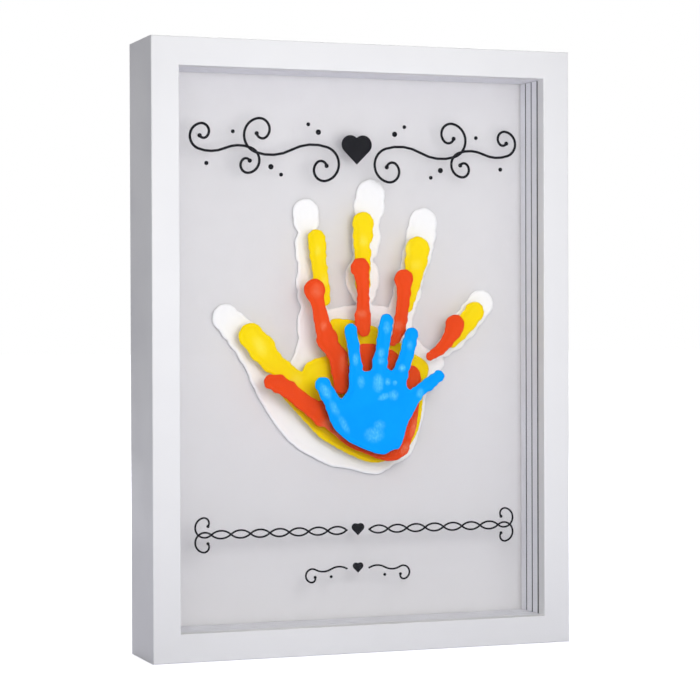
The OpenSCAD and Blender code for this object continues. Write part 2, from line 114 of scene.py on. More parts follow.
class Wiring:
    """Adds nodes to a tree and joins them, for materials and for shader groups alike."""

    def __init__(self, tree: Tree) -> None:
        """Starts on a tree that holds no nodes."""
        self.tree = tree

    def join(self, source: Socket, target: Socket) -> None:
        """Links an output to an input."""
        self.tree.links.new(source, target)

    def add(self, kind: str, inputs: dict[str | int, object] | None = None, **settings: object) -> Node:
        """Adds one node, sets its properties and feeds its inputs.

        Args:
            kind: The node's type name.
            inputs: A value or an output socket for each named or numbered input.
            **settings: Properties of the node, such as operation or data_type.

        Returns:
            The new node.
        """
        node = self.tree.nodes.new(kind)
        for name, value in settings.items():
            setattr(node, name, value)
        for key, value in (inputs or {}).items():
            if isinstance(value, Socket):
                self.join(value, node.inputs[key])
            else:
                node.inputs[key].default_value = value
        return node

    def calc(self, operation: str, a: object, b: object = 0.0, clamp: bool = False) -> Socket:
        """Adds a Math node on values or sockets and gives its output, which clamp keeps from 0 to 1."""
        return self.add("ShaderNodeMath", {0: a, 1: b}, operation=operation, use_clamp=clamp).outputs[0]

    def ramp(self, value: Socket, low: float, high: float,
             to_low: float = 0.0, to_high: float = 1.0) -> Socket:
        """Maps a value's range from low to high onto another range, with smooth ends.

        Args:
            value: The socket that varies.
            low: Input that gives to_low.
            high: Input that gives to_high.
            to_low: Output at low.
            to_high: Output at high.

        Returns:
            The mapped value.
        """
        limits = {"From Min": low, "From Max": high, "To Min": to_low, "To Max": to_high}
        node = self.add("ShaderNodeMapRange", {"Value": value, **limits}, interpolation_type="SMOOTHSTEP")
        return node.outputs["Result"]

    def blend(self, factor: object, first: object, second: object) -> Socket:
        """Mixes two colours.

        Args:
            factor: Share of the second colour.
            first: Colour or socket at 0.
            second: Colour or socket at 1.

        Returns:
            The mixed colour.
        """
        node = self.add("ShaderNodeMix", {0: factor}, data_type="RGBA")
        for socket, value in ((node.inputs[MIX_FIRST], first), (node.inputs[MIX_SECOND], second)):
            if isinstance(value, Socket):
                self.join(value, socket)
            else:
                socket.default_value = (*value, 1.0)
        return node.outputs[MIX_RESULT]


class Effects:
    """Shader groups that several finishes share. Each is built once, at its first use."""

    CLOUD_ROUGHNESS = 0.55
    CLOUD_SPAN: Span = (0.3, 0.7)
    BROAD_DETAIL = 2.0
    FINE_DETAIL = 1.0
    FINE_RATIO = 5.3

    @staticmethod
    def _group(name: str, inputs: dict[str, float | None], output: str,
               wire: Callable[[Wiring, Node], Socket]) -> Tree:
        """Finds a group by name, or builds it.

        Args:
            name: The group's name.
            inputs: Each input with its default, or None for a vector.
            output: Name of its one output, a value.
            wire: Wires the group from its input node, and returns the socket to put out.

        Returns:
            The group's tree.
        """
        found = bpy.data.node_groups.get(name)
        if found:
            return found
        tree = bpy.data.node_groups.new(name, "ShaderNodeTree")
        for label, default in inputs.items():
            kind = "NodeSocketVector" if default is None else "NodeSocketFloat"
            made = tree.interface.new_socket(name=label, in_out="INPUT", socket_type=kind)
            if default is not None:
                made.default_value = default
        tree.interface.new_socket(name=output, in_out="OUTPUT", socket_type="NodeSocketFloat")
        wiring = Wiring(tree)
        wiring.add("NodeGroupOutput", {output: wire(wiring, wiring.add("NodeGroupInput"))})
        return tree

    @classmethod
    def mottle(cls) -> Tree:
        """Soft uneven patches: a mask from 0 to 1."""
        inputs = {"Place": None, "Scale": 30.0, "Detail": 3.0}
        return cls._group("soft_mottle", inputs, "Mask", cls._wire_mottle)

    @classmethod
    def grain(cls) -> Tree:
        """Fine relief at two sizes: a height from 0 to 1."""
        inputs = {"Place": None, "Scale": 900.0, "Fine share": 0.4}
        return cls._group("fine_grain", inputs, "Height", cls._wire_grain)

    @classmethod
    def specks(cls) -> Tree:
        """Scattered round specks: a mask that is 1 in a speck."""
        inputs = {"Place": None, "Scale": 700.0, "Amount": 0.1, "Size": 0.3}
        return cls._group("scattered_specks", inputs, "Mask", cls._wire_specks)

    @classmethod
    def _wire_mottle(cls, wiring: Wiring, start: Node) -> Socket:
        """Wires a cloud texture whose middle values are spread out.

        Args:
            wiring: The group's wiring.
            start: The group's input node.

        Returns:
            The mask.
        """
        given = start.outputs
        look = {"Scale": given["Scale"], "Detail": given["Detail"], "Roughness": cls.CLOUD_ROUGHNESS}
        cloud = wiring.add("ShaderNodeTexNoise", {"Vector": given["Place"], **look})
        return wiring.ramp(cloud.outputs[0], *cls.CLOUD_SPAN)

    @classmethod
    def _wire_grain(cls, wiring: Wiring, start: Node) -> Socket:
        """Wires a broad and a fine cloud texture into one height.

        Args:
            wiring: The group's wiring.
            start: The group's input node.

        Returns:
            The height.
        """
        given = start.outputs
        broad = wiring.add("ShaderNodeTexNoise", {"Vector": given["Place"], "Scale": given["Scale"],
                                                  "Detail": cls.BROAD_DETAIL})
        fine_scale = wiring.calc("MULTIPLY", given["Scale"], cls.FINE_RATIO)
        fine = wiring.add("ShaderNodeTexNoise", {"Vector": given["Place"], "Scale": fine_scale,
                                                 "Detail": cls.FINE_DETAIL})
        fine_part = wiring.calc("MULTIPLY", fine.outputs[0], given["Fine share"])
        broad_share = wiring.calc("SUBTRACT", 1.0, given["Fine share"])
        return wiring.calc("ADD", wiring.calc("MULTIPLY", broad.outputs[0], broad_share), fine_part)

    @classmethod
    def _wire_specks(cls, wiring: Wiring, start: Node) -> Socket:
        """Wires cells of which some, picked by chance, hold a round speck.

        Args:
            wiring: The group's wiring.
            start: The group's input node.

        Returns:
            The mask.
        """
        given = start.outputs
        cells = wiring.add("ShaderNodeTexVoronoi", {"Vector": given["Place"], "Scale": given["Scale"]})
        chance = wiring.add("ShaderNodeSeparateColor", {0: cells.outputs["Color"]}).outputs[0]
        picked = wiring.calc("GREATER_THAN", chance, wiring.calc("SUBTRACT", 1.0, given["Amount"]))
        inside = wiring.calc("LESS_THAN", cells.outputs["Distance"], given["Size"])
        return wiring.calc("MULTIPLY", picked, inside)


class Recipe(Wiring):
    """One material: its Principled shader, its place in the object, and its output."""

    def __init__(self, name: str) -> None:
        """Makes an empty material with a Principled shader at its output.

        Args:
            name: The material's name.
        """
        self.material = bpy.data.materials.new(name)
        self.material.use_nodes = True
        super().__init__(self.material.node_tree)
        self.tree.nodes.clear()
        self.output = self.add("ShaderNodeOutputMaterial")
        self.shader = self.add("ShaderNodeBsdfPrincipled")
        self.join(self.shader.outputs[0], self.output.inputs["Surface"])
        self.place = self.add("ShaderNodeTexCoord").outputs["Object"]

    def set(self, **plain: object) -> None:
        """Sets numbers and colours that are the same all over on the shader's own sockets.

        Args:
            **plain: Value for each socket, whose spaces are written as underscores.
        """
        for name, value in plain.items():
            wide = isinstance(value, tuple) and len(value) == 3
            self.shader.inputs[name.replace("_", " ")].default_value = (*value, 1.0) if wide else value

    def feed(self, socket: str, value: Socket) -> None:
        """Links a varying value to one of the shader's sockets."""
        self.join(value, self.shader.inputs[socket])

    def effect(self, group: Tree, place: Socket | None = None, **values: float) -> Socket:
        """Places a shared group in this material.

        Args:
            group: The group's tree.
            place: The coordinates that it reads, or the object's own.
            **values: Its inputs, whose spaces are written as underscores.

        Returns:
            The group's output.
        """
        node = self.add("ShaderNodeGroup", node_tree=group)
        self.join(place or self.place, node.inputs["Place"])
        for name, value in values.items():
            node.inputs[name.replace("_", " ")].default_value = value
        return node.outputs[0]

    def stretched(self, scale: Triple) -> Socket:
        """Gives coordinates multiplied by a factor along each axis, for a grain that runs one way."""
        return self.add("ShaderNodeMapping", {"Vector": self.place, "Scale": scale}).outputs[0]

    def emboss(self, height: Socket, depth: float) -> None:
        """Feeds a height from 0 to 1 to the shader's normal, where 1 stands for depth in metres."""
        bump = self.add("ShaderNodeBump", {"Strength": 1.0, "Distance": depth, "Height": height})
        self.feed("Normal", bump.outputs[0])

    def pass_light(self, color: Color) -> None:
        """Lets shadow and diffuse rays straight through, so that a clear piece casts no dark shadow.

        Args:
            color: What the light is multiplied by at each surface.
        """
        path = self.add("ShaderNodeLightPath")
        passing = self.calc("MAXIMUM", path.outputs["Is Shadow Ray"], path.outputs["Is Diffuse Ray"])
        clear = self.add("ShaderNodeBsdfTransparent", {"Color": (*color, 1.0)})
        mixed = self.add("ShaderNodeMixShader", {0: passing, 1: self.shader.outputs[0], 2: clear.outputs[0]})
        self.join(mixed.outputs[0], self.output.inputs["Surface"])


# Finishes


@dataclass(frozen=True)
class Flecks:
    """Sparse specks of another tone, such as the fibres in card and board."""

    color: Color
    share: float
    stretch: Triple
    scale: float
    amount: float
    size: float

    def over(self, recipe: Recipe, base: Socket) -> Socket:
        """Lays the flecks over a colour.

        Args:
            recipe: The material that gets them.
            base: The colour below them.

        Returns:
            The flecked colour.
        """
        mask = recipe.effect(Effects.specks(), recipe.stretched(self.stretch), Scale=self.scale,
                             Amount=self.amount, Size=self.size)
        return recipe.blend(recipe.calc("MULTIPLY", mask, self.share), base, self.color)


@dataclass(frozen=True)
class Finish:
    """A finish whose colour and roughness wander a little, over a fine relief."""

    name: str
    color: Color
    dull: Color
    rough: Span = (0.4, 0.5)
    patches: float = 30.0
    patch_detail: float = 4.0
    flecks: tuple[Flecks, ...] = ()
    grain: float = 900.0
    fine_share: float = 0.4
    depth: float = 0.01 * MM
    stretch: Triple = (1.0, 1.0, 1.0)
    metallic: float = 0.0
    specular: float = 0.5

    def tone(self, recipe: Recipe, mask: Socket) -> Socket:
        """Wires the colour over the surface.

        Args:
            recipe: The material.
            mask: The patches' mask.

        Returns:
            The colour, with its flecks.
        """
        tone = recipe.blend(mask, self.color, self.dull)
        for flecks in self.flecks:
            tone = flecks.over(recipe, tone)
        return tone

    def relief(self, recipe: Recipe) -> Socket:
        """Height of the fine relief, from 0 to 1."""
        return recipe.effect(Effects.grain(), recipe.stretched(self.stretch), Scale=self.grain,
                             Fine_share=self.fine_share)

    def build(self) -> Material:
        """Makes the material.

        Returns:
            The new material.
        """
        recipe = Recipe(self.name)
        recipe.set(Metallic=self.metallic, Specular_IOR_Level=self.specular)
        mask = recipe.effect(Effects.mottle(), Scale=self.patches, Detail=self.patch_detail)
        recipe.feed("Base Color", self.tone(recipe, mask))
        recipe.feed("Roughness", recipe.ramp(mask, 0.0, 1.0, *self.rough))
        recipe.emboss(self.relief(recipe), self.depth)
        return recipe.material


@dataclass(frozen=True)
class SatinLacquer(Finish):
    """White satin lacquer on smooth wood, with a trace of orange peel."""

    name: str = "white_satin_lacquer"
    color: Color = (0.80, 0.80, 0.805)
    dull: Color = (0.785, 0.785, 0.792)
    rough: Span = (0.34, 0.44)
    patches: float = 18.0
    grain: float = 520.0
    fine_share: float = 0.3
    depth: float = 0.012 * MM
    specular: float = 0.25


@dataclass(frozen=True)
class FoamedPlastic(Finish):
    """White foamed plastic strip, matt."""

    name: str = "white_foamed_plastic"
    color: Color = (0.86, 0.86, 0.90)
    dull: Color = (0.84, 0.84, 0.88)
    rough: Span = (0.5, 0.62)
    patches: float = 60.0
    grain: float = 1500.0
    depth: float = 0.01 * MM
    specular: float = 0.3


@dataclass(frozen=True)
class SlotShadePlastic(FoamedPlastic):
    """The same plastic, with dark grey painted shade on the two faces that hold the panes, so the slots
    between the strips read dark.
    """

    name: str = "slot_shade_foamed_plastic"
    slot_shade: Color = (0.06, 0.06, 0.07)
    slot_shade_edge: Span = (0.75, 0.85)

    def tone(self, recipe: Recipe, mask: Socket) -> Socket:
        """Wires white, and dark grey painted shade on the faces that look to the front and the back.

        Args:
            recipe: The material.
            mask: The patches' mask.

        Returns:
            The colour.
        """
        normal = recipe.add("ShaderNodeTexCoord").outputs["Normal"]
        facing = recipe.add("ShaderNodeSeparateXYZ", {0: normal}).outputs["Y"]
        # Painted shade: dark grey on the faces against the panes, which darkens the slots between the
        # strips.
        slot_shaded = recipe.ramp(recipe.calc("ABSOLUTE", facing), *self.slot_shade_edge)
        return recipe.blend(slot_shaded, super().tone(recipe, mask), self.slot_shade)


@dataclass(frozen=True)
class MountCard(Finish):
    """Pale grey-white mount card with short darker fibres in its surface."""

    name: str = "pale_mount_card"
    color: Color = (0.745, 0.735, 0.745)
    dull: Color = (0.73, 0.72, 0.73)
    rough: Span = (0.75, 0.85)
    patches: float = 120.0
    flecks: tuple[Flecks, ...] = (
        Flecks((0.62, 0.61, 0.62), share=0.5, stretch=(1.0, 1.0, 0.25), scale=900.0, amount=0.04, size=0.25),
    )
    grain: float = 1800.0
    depth: float = 0.02 * MM
    stretch: Triple = (1.0, 1.0, 0.45)
    specular: float = 0.2


@dataclass(frozen=True)
class RaisedVinyl(Finish):
    """Black vinyl ornament film, satin, with a faint calendered grain."""

    name: str = "raised_black_vinyl"
    color: Color = (0.008, 0.008, 0.011)
    dull: Color = (0.013, 0.013, 0.017)
    rough: Span = (0.42, 0.55)
    patches: float = 200.0
    grain: float = 2500.0
    depth: float = 0.006 * MM
    specular: float = 0.12


@dataclass(frozen=True)
class Hardboard(Finish):
    """Brown hardboard with pressed fibres, pale ones and dark ones."""

    name: str = "brown_hardboard"
    color: Color = (0.225, 0.122, 0.064)
    dull: Color = (0.195, 0.103, 0.053)
    rough: Span = (0.55, 0.72)
    patches: float = 140.0
    flecks: tuple[Flecks, ...] = (
        Flecks((0.40, 0.25, 0.14), share=0.45, stretch=(0.4, 1.0, 1.0), scale=800.0, amount=0.18, size=0.35),
        Flecks((0.10, 0.05, 0.028), share=0.5, stretch=(1.0, 1.0, 0.4), scale=600.0, amount=0.12, size=0.35),
    )
    grain: float = 1100.0
    depth: float = 0.04 * MM
    stretch: Triple = (0.5, 1.0, 1.0)
    specular: float = 0.35


@dataclass(frozen=True)
class OpenFoam(Finish):
    """Pale grey open-cell foam."""

    name: str = "grey_open_foam"
    color: Color = (0.62, 0.62, 0.63)
    dull: Color = (0.5, 0.5, 0.51)
    rough: Span = (0.85, 0.95)
    patches: float = 80.0
    depth: float = 0.3 * MM
    specular: float = 0.1
    cells: float = 900.0

    def relief(self, recipe: Recipe) -> Socket:
        """Height of the foam's open cells."""
        inputs = {"Vector": recipe.place, "Scale": self.cells}
        return recipe.add("ShaderNodeTexVoronoi", inputs, feature="SMOOTH_F1").outputs["Distance"]


@dataclass(frozen=True)
class ZincPlate(Finish):
    """Zinc-plated steel: cloudy patches and fine rolling marks."""

    name: str = "zinc_plated_steel"
    color: Color = (0.46, 0.47, 0.48)
    dull: Color = (0.33, 0.34, 0.36)
    rough: Span = (0.24, 0.42)
    patches: float = 260.0
    grain: float = 1400.0
    depth: float = 0.008 * MM
    stretch: Triple = (1.0, 1.0, 0.12)
    metallic: float = 1.0


@dataclass(frozen=True)
class ClearAcrylic:
    """Clear low-glare cast acrylic. It lets the light on what is behind it straight through."""

    name: str = "clear_acrylic"
    color: Color = (0.998, 0.998, 0.998)
    ior: float = 1.49
    glare: Color = (0.05, 0.05, 0.05)
    haze: Span = (0.0, 0.012)
    haze_start: float = 0.5
    patches: float = 14.0
    patch_detail: float = 2.0

    def build(self) -> Material:
        """Makes the material.

        Returns:
            The new material.
        """
        recipe = Recipe(self.name)
        recipe.set(Base_Color=self.color, IOR=self.ior, Transmission_Weight=1.0, Specular_Tint=self.glare)
        mask = recipe.effect(Effects.mottle(), Scale=self.patches, Detail=self.patch_detail)
        recipe.feed("Roughness", recipe.ramp(mask, self.haze_start, 1.0, *self.haze))
        recipe.pass_light(self.color)
        return recipe.material


@dataclass(frozen=True)
class FingerPaint:
    """Dried acrylic paint, with a paler broken tone at the film's spots: painted highlights."""

    name: str
    color: Color
    deep: Color
    # Colour of the painted highlights at the spots.
    highlight_color: Color
    deep_share: float = 0.5
    highlight_share: float = 0.80
    base_share: float = 0.40
    rough: Span = (0.42, 0.55)
    specular: float = 0.07
    patches: float = 45.0
    patch_detail: float = 3.0
    speck_scale: float = 760.0
    speck_stretch: Triple = (1.0, 1.0, 0.7)
    speck_span: Span = (0.40, 0.68)
    grain: float = 420.0
    fine_share: float = 0.3
    depth: float = 0.05 * MM
    mask_name: str = "hollow_and_highlight"

    def build(self) -> Material:
        """Makes the material.

        Returns:
            The new material.
        """
        recipe = Recipe(self.name)
        recipe.set(Specular_IOR_Level=self.specular)
        mask = recipe.effect(Effects.mottle(), Scale=self.patches, Detail=self.patch_detail)
        body = recipe.blend(recipe.ramp(mask, 0.0, 1.0, 0.0, self.deep_share), self.color, self.deep)
        # Painted highlights: the paler tone is laid over the paint where the film's spots are.
        recipe.feed("Base Color", recipe.blend(self.painted_highlights(recipe), body, self.highlight_color))
        recipe.feed("Roughness", recipe.ramp(mask, 0.0, 1.0, *self.rough))
        relief = recipe.effect(Effects.grain(), Scale=self.grain, Fine_share=self.fine_share)
        recipe.emboss(relief, self.depth)
        return recipe.material

    def painted_highlights(self, recipe: Recipe) -> Socket:
        """Wires the share of the painted highlights' paler tone, from the film's own attribute.

        Args:
            recipe: The material.

        Returns:
            The share, broken up into soft specks.
        """
        # The spots' mask from the film tells where the painted highlights show.
        hollow_and_highlight = recipe.add("ShaderNodeAttribute", attribute_name=self.mask_name).outputs["Fac"]
        broken = recipe.effect(Effects.grain(), recipe.stretched(self.speck_stretch), Scale=self.speck_scale,
                               Fine_share=self.fine_share)
        share = recipe.ramp(broken, *self.speck_span, self.base_share, 1.0)
        return recipe.calc("MULTIPLY", recipe.calc("MULTIPLY", hollow_and_highlight, share), self.highlight_share, clamp=True)


@dataclass(frozen=True)
class SoftBumper:
    """Clear soft polyurethane, slightly cloudy."""

    name: str = "clear_soft_polyurethane"
    color: Color = (0.86, 0.88, 0.9)
    ior: float = 1.45
    clearness: float = 0.75
    rough: Span = (0.12, 0.3)
    patches: float = 220.0
    patch_detail: float = 3.0
    grain: float = 900.0
    fine_share: float = 0.3
    depth: float = 0.01 * MM

    def build(self) -> Material:
        """Makes the material.

        Returns:
            The new material.
        """
        recipe = Recipe(self.name)
        recipe.set(Base_Color=self.color, IOR=self.ior, Transmission_Weight=self.clearness)
        mask = recipe.effect(Effects.mottle(), Scale=self.patches, Detail=self.patch_detail)
        recipe.feed("Roughness", recipe.ramp(mask, 0.0, 1.0, *self.rough))
        relief = recipe.effect(Effects.grain(), Scale=self.grain, Fine_share=self.fine_share)
        recipe.emboss(relief, self.depth)
        recipe.pass_light(self.color)
        return recipe.material


# Mesh making


def smooth(share: float) -> float:
    """Eases a share from 0 to 1 at both of its ends."""
    return share * share * (3.0 - 2.0 * share)


def distance_to_axis(point: Vector, centre: Vector) -> float:
    """Distance from a point to an axis through centre that runs front to back."""
    return math.hypot(point.x - centre.x, point.z - centre.z)


def at_depth(depth: float, reach: float) -> EdgeTest:
    """Makes a test for edges whose two ends lie at one depth, give or take reach."""
    return lambda edge: all(abs(v.co.y - depth) < reach for v in edge.verts)


def merged_copy(node: str) -> EditMesh:
    """Copies a CAD node's loose triangles into one closed mesh with large flat faces.

    Args:
        node: The CAD node's name.

    Returns:
        The new mesh.
    """
    mesh = bmesh.new()
    mesh.from_mesh(bpy.data.objects[node].data)
    bmesh.ops.remove_doubles(mesh, verts=mesh.verts, dist=MERGE_DISTANCE)
    bmesh.ops.dissolve_limit(mesh, angle_limit=CLEAN_ANGLE, verts=mesh.verts, edges=mesh.edges)
    bmesh.ops.recalc_face_normals(mesh, faces=mesh.faces)
    return mesh


def soften(mesh: EditMesh, width: float, segments: int, wanted: EdgeTest = lambda edge: True) -> None:
    """Rounds the mesh's sharp edges.

    Args:
        mesh: The mesh to change.
        width: Width of the rounding in metres.
        segments: Faces across the rounding.
        wanted: Says which of the sharp edges are rounded.
    """
    sharp = [e for e in mesh.edges if e.is_manifold and e.calc_face_angle(0.0) > SHARP_ANGLE and wanted(e)]
    bmesh.ops.bevel(mesh, geom=sharp, offset=width, offset_type="OFFSET", segments=segments, profile=0.5,
                    affect="EDGES", clamp_overlap=True, material=-1)


def slab(node: str, inset: float, rounding: float, segments: int = 2) -> EditMesh:
    """Makes a flat sheet or strip in the place of a CAD node, with its edges eased.

    Args:
        node: The CAD node whose box it fills.
        inset: Air left on every side.
        rounding: Width of the eased edges.
        segments: Faces across an eased edge.

    Returns:
        The new mesh.
    """
    low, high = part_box(node)
    size = high - low - Vector((inset, inset, inset)) * 2
    placed = Matrix.Translation((low + high) / 2) @ Matrix.Diagonal((*size, 1.0))
    mesh = bmesh.new()
    bmesh.ops.create_cube(mesh, size=1.0, matrix=placed)
    soften(mesh, rounding, segments)
    return mesh


@dataclass
class Piece:
    """A finished piece of the object: what it is called, what it moves with and what it stands for."""

    name: str
    slot: str
    body: str = FIXED_BODY
    stands_for: tuple[str, ...] = ()
    flat_faces: bool = True

    def put(self, mesh: EditMesh, material: Material) -> bpy.types.Object:
        """Turns a mesh into the piece's object, dresses it and joins it to its body.

        Args:
            mesh: The finished mesh, which is freed.
            material: The piece's material.

        Returns:
            The new object.
        """
        data = bpy.data.meshes.new(self.name)
        mesh.to_mesh(data)
        mesh.free()
        return self.put_data(data, material)

    def put_data(self, data: bpy.types.Mesh, material: Material) -> bpy.types.Object:
        """Does the same as put() for a mesh that is no longer in edit form.

        Args:
            data: The finished mesh.
            material: The piece's material.

        Returns:
            The new object.
        """
        data.polygons.foreach_set("use_smooth", [True] * len(data.polygons))
        data.set_sharp_from_angle(angle=SHARP_ANGLE)
        data.materials.clear()
        data.materials.append(material)
        piece = bpy.data.objects.new(self.name, data)
        bpy.context.scene.collection.objects.link(piece)
        if self.flat_faces:
            even = piece.modifiers.new("even_normals", "WEIGHTED_NORMAL")
            even.keep_sharp = True
            even.weight = FACE_WEIGHT
        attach(piece, self.body)
        if self.stands_for:
            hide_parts(*self.stands_for)
        LOG.info("%s: %d faces, rides on %s", self.name, len(data.polygons), self.body)
        return piece


def dress(node: str, material: Material) -> None:
    """Gives a CAD node that is kept a better material.

    Args:
        node: The CAD node's name.
        material: The material for all of it.
    """
    for part in bpy.data.objects[node].material_slots:
        part.material = material
    LOG.info("%s: CAD node kept, finish %s", node, material.name)


# Sub-assemblies


@dataclass
class Rails:
    """Four mitred rails and the steel nails across their mitres. The CAD shapes are kept."""

    lacquer: SatinLacquer = SatinLacquer()
    steel: ZincPlate = ZincPlate(name="plain_nail_steel", color=(0.30, 0.30, 0.32), dull=(0.20, 0.20, 0.22),
                                 rough=(0.35, 0.5))

    def build(self) -> None:
        """Dresses the rails and the corner nails."""
        white = self.lacquer.build()
        for side in Side:
            dress(f"rail_{side.value}", white)
        dress("corner_v_nails", self.steel.build())


@dataclass
class PaneStack:
    """What drops into the rabbet: panes, spacer strips, card, foam pad and backing board."""

    panes: int = 4
    spacers: int = 3
    pane_air: float = 0.04 * MM
    pane_polish: float = 0.2 * MM
    strip_arris: float = 0.2 * MM
    card_arris: float = 0.15 * MM
    pad_rounding: float = 1.2 * MM
    pad_segments: int = 4
    board_arris: float = 0.4 * MM
    air: float = 0.02 * MM

    def build(self) -> None:
        """Makes every layer of the stack."""
        self.build_panes(ClearAcrylic().build())
        self.build_strips(FoamedPlastic().build(), SlotShadePlastic().build())
        self.build_layers()

    def build_panes(self, acrylic: Material) -> None:
        """Makes the clear panes, with polished edges.

        Args:
            acrylic: Their material.
        """
        for number in range(1, self.panes + 1):
            node = f"pane_{number}"
            mesh = slab(node, self.pane_air, self.pane_polish)
            Piece(f"clear_{node}", "pane", stands_for=(node,)).put(mesh, acrylic)

    def build_strips(self, plain: Material, slot_shaded: Material) -> None:
        """Makes the spacer strips, with eased edges. The upright ones carry painted shade on their faces
        against the panes.

        Args:
            plain: Material of the level strips.
            slot_shaded: Material of the upright strips, with painted shade on the faces against the panes.
        """
        for number in range(1, self.spacers + 1):
            for side in Side:
                node = f"spacer_{number}_{side.value}"
                # The upright strips get the material with painted shade on their pane faces.
                plastic = slot_shaded if side in (Side.LEFT, Side.RIGHT) else plain
                strip = Piece(f"strip_{number}_{side.value}", "spacer", stands_for=(node,))
                strip.put(slab(node, 0.0, self.strip_arris), plastic)

    def build_layers(self) -> None:
        """Makes the card, the foam pad and the backing board."""
        card = slab("background_card", self.air, self.card_arris)
        Piece("mount_card", "card", stands_for=("background_card",)).put(card, MountCard().build())
        foam = slab("filler_pad", self.air, self.pad_rounding, self.pad_segments)
        pad = Piece("foam_pad", "foam", stands_for=("filler_pad",)).put(foam, OpenFoam().build())
        board = slab("backing_board", self.air, self.board_arris)
        Piece("hardboard_back", "board", stands_for=("backing_board",)).put(board, Hardboard().build())


@dataclass(frozen=True)
class Spot:
    """A place where a finger or the palm pressed the paint into a hollow that also carries a painted
    highlight, in millimetres in the print's own plane.
    """

    x: float
    z: float
    wide: float
    tall: float
    lean: float = 0.0
    strength: float = 1.0
    rise: ClassVar[float] = 1.4

    def mask(self, x: float, z: float) -> float:
        """How strongly the spot acts at a point: the depth of its hollow and the share of its painted
        highlight.

        Args:
            x: Place across, in millimetres.
            z: Height, in millimetres.

        Returns:
            From 0 outside the spot to its strength in the middle.
        """
        turn = math.radians(self.lean)
        dx, dz = x - self.x, z - self.z
        across = (dx * math.cos(turn) + dz * math.sin(turn)) / self.wide
        along = (dz * math.cos(turn) - dx * math.sin(turn)) / self.tall
        left = max(0.0, 1.0 - math.hypot(across, along))
        return self.strength * min(1.0, left * self.rise)


